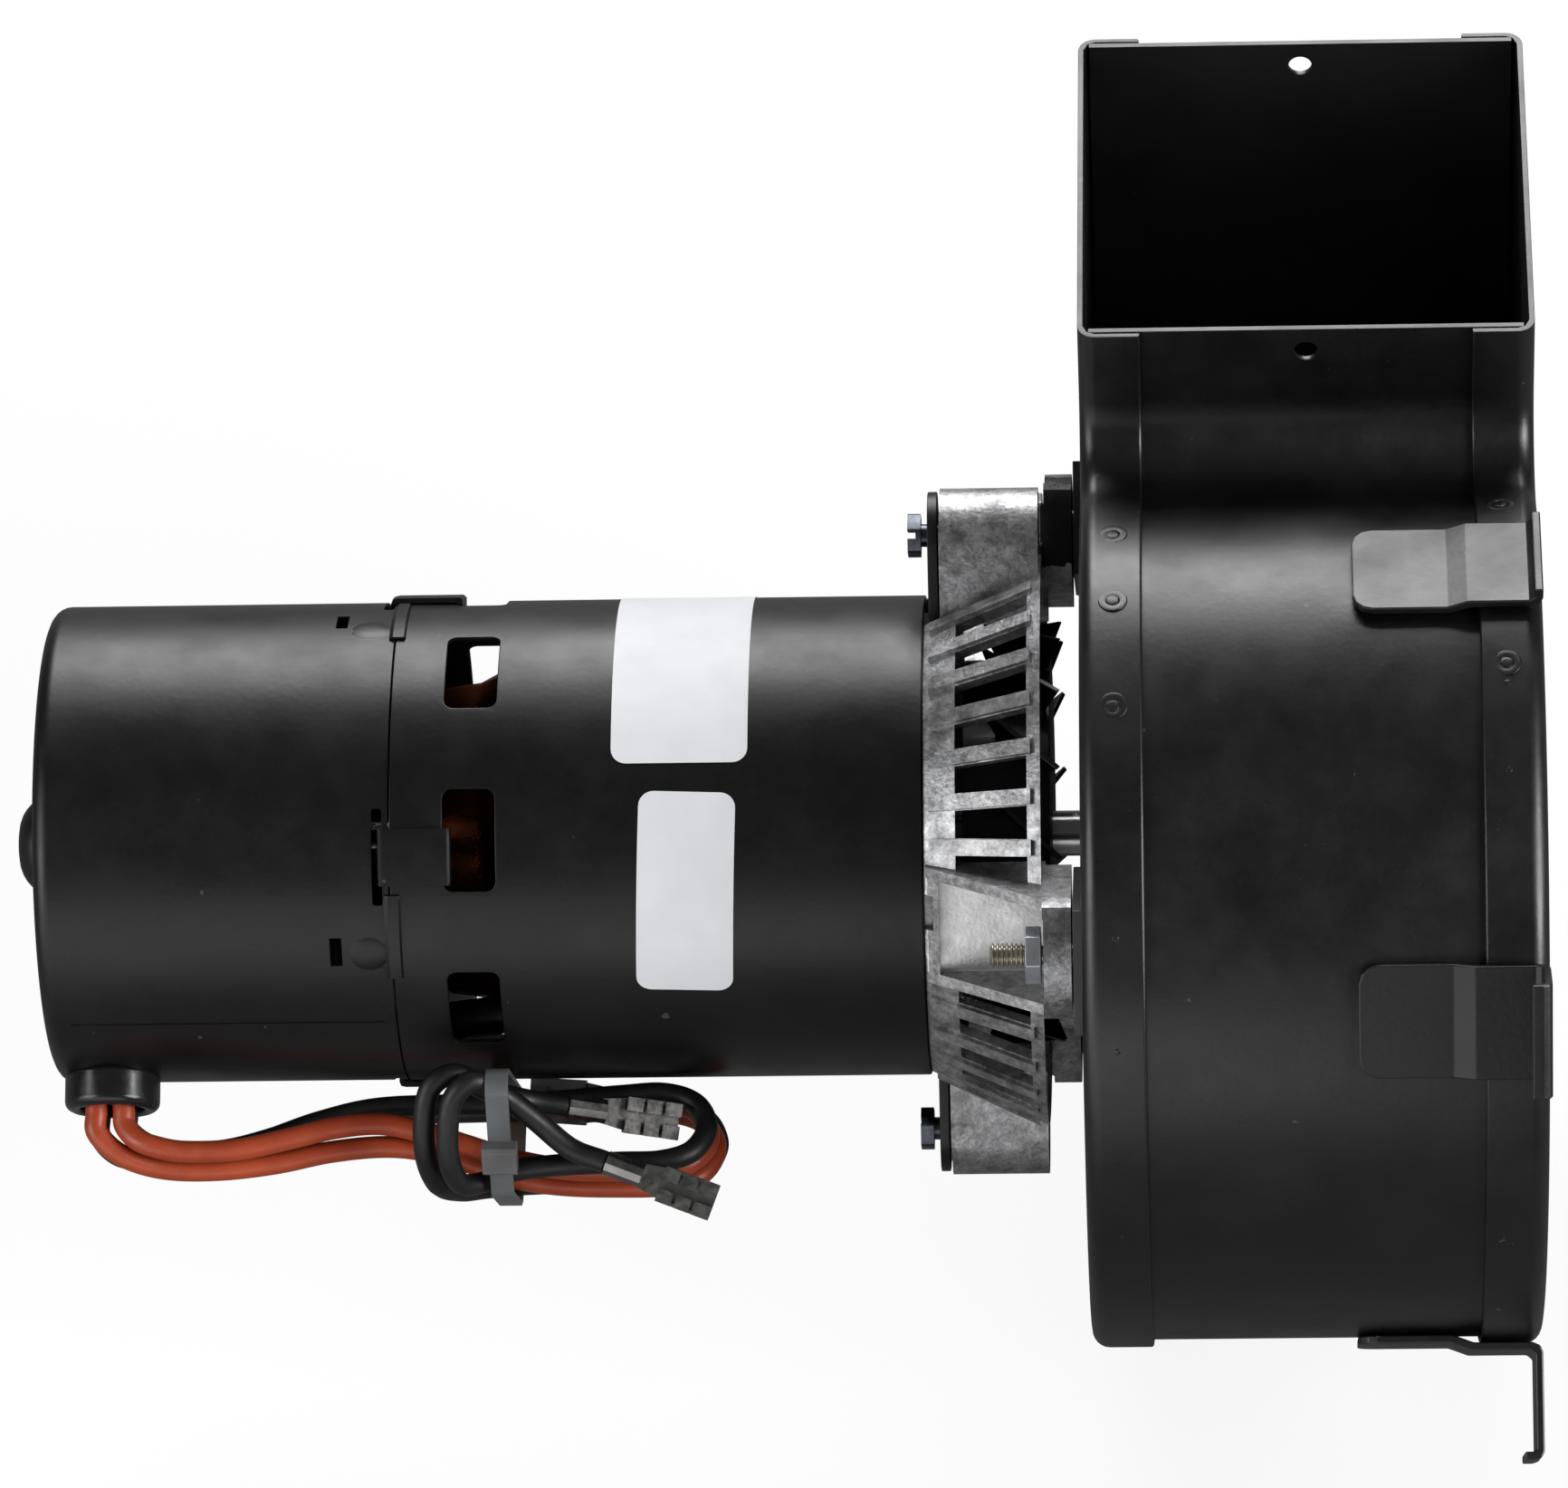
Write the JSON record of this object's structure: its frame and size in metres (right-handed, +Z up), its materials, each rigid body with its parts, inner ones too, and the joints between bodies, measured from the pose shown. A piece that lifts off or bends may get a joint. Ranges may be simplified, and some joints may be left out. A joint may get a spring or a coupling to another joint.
{
  "type": "combustion fan",
  "caption": "Draft-inducer blower: a painted steel scroll housing with mounting tabs, driven through a cast cage bracket by an induction motor with a tied hank of leads",
  "frame": {"origin": "on the shaft's axis, in the plane of the mounting tabs' feet", "axes": "+X along the shaft out of the inlet side, +Z up along the outlet, +Y to the outlet's side"},
  "size_m": [0.2653, 0.2214, 0.2026],
  "materials": {
    "black_paint": "semi-gloss black enamel",
    "cast_aluminium": "as cast, mottled",
    "plated_steel": "zinc plated",
    "lamination": "stacked sheet, varnished",
    "copper_wire": "varnished windings",
    "black_nylon": "moulded",
    "switch_board": "phenolic board",
    "bearing_bronze": "sintered",
    "orange_silicone": "satin insulation",
    "black_silicone": "satin insulation",
    "grey_nylon": "translucent nylon"
  },
  "bodies": {
    "housing": {"motor_shell": "black_paint", "motor_end_cap": "black_paint", "front_end_shield": "black_paint", "front_bearing": "bearing_bronze", "rear_bearing": "bearing_bronze", "stator_core": "lamination", "winding_rear": "copper_wire", "winding_front": "copper_wire", "strain_relief": "black_nylon", "motor_bracket": "cast_aluminium", "ear_screw_1": "plated_steel", "ear_screw_2": "plated_steel", "foot_screw_1": "plated_steel", "foot_screw_2": "plated_steel", "foot_screw_3": "plated_steel", "foot_nut_1": "plated_steel", "foot_nut_2": "plated_steel", "foot_nut_3": "plated_steel", "blower_back_plate": "black_paint", "scroll_wrapper": "black_paint", "inlet_plate": "black_paint", "mounting_tab_1": "black_paint", "mounting_tab_2": "black_paint", "mounting_tab_3": "black_paint", "mounting_tab_4": "black_paint", "mounting_tab_5": "black_paint", "switch_board": "switch_board", "lead_orange_1": "orange_silicone", "lead_orange_2": "orange_silicone", "lead_black_1": "black_silicone", "lead_black_2": "black_silicone", "lead_terminal_1": "plated_steel", "lead_terminal_2": "plated_steel", "lead_terminal_3": "plated_steel", "lead_terminal_4": "plated_steel", "cable_tie": "grey_nylon"},
    "rotor": {"shaft": "plated_steel", "rotor_core": "lamination", "cooling_fan": "black_paint", "blower_wheel": "plated_steel", "wheel_hub": "plated_steel", "wheel_set_screw": "plated_steel", "switch_carrier": "black_nylon"},
    "collar": {"switch_collar": "black_nylon"},
    "weight_a": {"flyweight_1": "plated_steel"},
    "weight_b": {"flyweight_2": "plated_steel"},
    "lever": {"switch_lever": "black_nylon"}
  },
  "joints": [
    {"name": "rotor_spin", "type": "hinge", "parent": "housing", "child": "rotor", "pos_m": [0, 0, 0], "axis": [1, 0, 0], "continuous": true},
    {"name": "collar_slide", "type": "slide", "parent": "rotor", "child": "collar", "axis": [-1, 0, 0], "range_m": [0, 0.003], "stiffness_N_per_m": 400, "springref_m": -0.002},
    {"name": "flyweight_1_swing", "type": "hinge", "parent": "rotor", "child": "weight_a", "pos_m": [-0.232, 0, 0.013], "axis": [0, 1, 0], "range_deg": [0, 28]},
    {"name": "flyweight_2_swing", "type": "hinge", "parent": "rotor", "child": "weight_b", "pos_m": [-0.232, 0, -0.013], "axis": [0, -1, 0], "range_deg": [0, 28]},
    {"name": "lever_swing", "type": "hinge", "parent": "housing", "child": "lever", "pos_m": [-0.2134, 0, -0.03], "axis": [0, -1, 0], "range_deg": [0, 9]}
  ],
  "couplings": [
    {"joint": "flyweight_1_swing", "follows": "collar_slide", "rad_per_m": 160},
    {"joint": "flyweight_2_swing", "follows": "collar_slide", "rad_per_m": 160},
    {"joint": "lever_swing", "follows": "collar_slide", "rad_per_m": 50}
  ]
}
